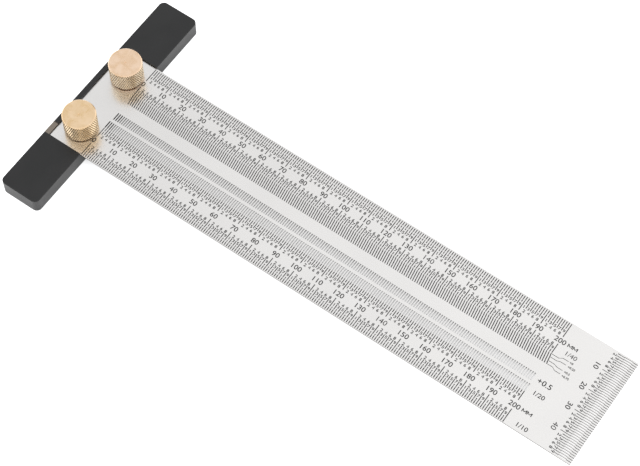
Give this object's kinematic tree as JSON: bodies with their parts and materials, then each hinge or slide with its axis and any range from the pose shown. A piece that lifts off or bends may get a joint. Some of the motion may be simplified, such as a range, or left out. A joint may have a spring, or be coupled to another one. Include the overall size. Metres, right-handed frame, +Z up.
{
  "type": "marking t-square",
  "caption": "Marking T-square: a slotted steel blade with a millimetre scale lies in the pocket of a black head bar and is clamped by knurled brass thumb screws.",
  "frame": {"origin": "centre of the head's working face below the blade, on the blade's centre line; the scale counts from this face", "axes": "+X out of the working face, along the blade to its tip; +Y across the blade to the left thumb screw; +Z up out of the scale"},
  "size_m": [0.2479, 0.1064, 0.0173],
  "materials": {
    "black_anodised": "satin black anodised",
    "satin_steel": "satin",
    "turned_brass": "turned and knurled"
  },
  "bodies": {
    "square": {"head": "black_anodised", "rule_blade": "satin_steel"},
    "screw_left": {"thumb_screw_left": "turned_brass"},
    "screw_right": {"thumb_screw_right": "turned_brass"}
  },
  "joints": [
    {"name": "screw_left_turn", "type": "hinge", "parent": "square", "child": "screw_left", "pos_m": [-0.0075, 0.015, 0.00355], "axis": [0, 0, 1], "range_deg": [0, 2475]},
    {"name": "screw_right_turn", "type": "hinge", "parent": "square", "child": "screw_right", "pos_m": [-0.0075, -0.015, 0.00355], "axis": [0, 0, 1], "range_deg": [0, 2475]}
  ]
}
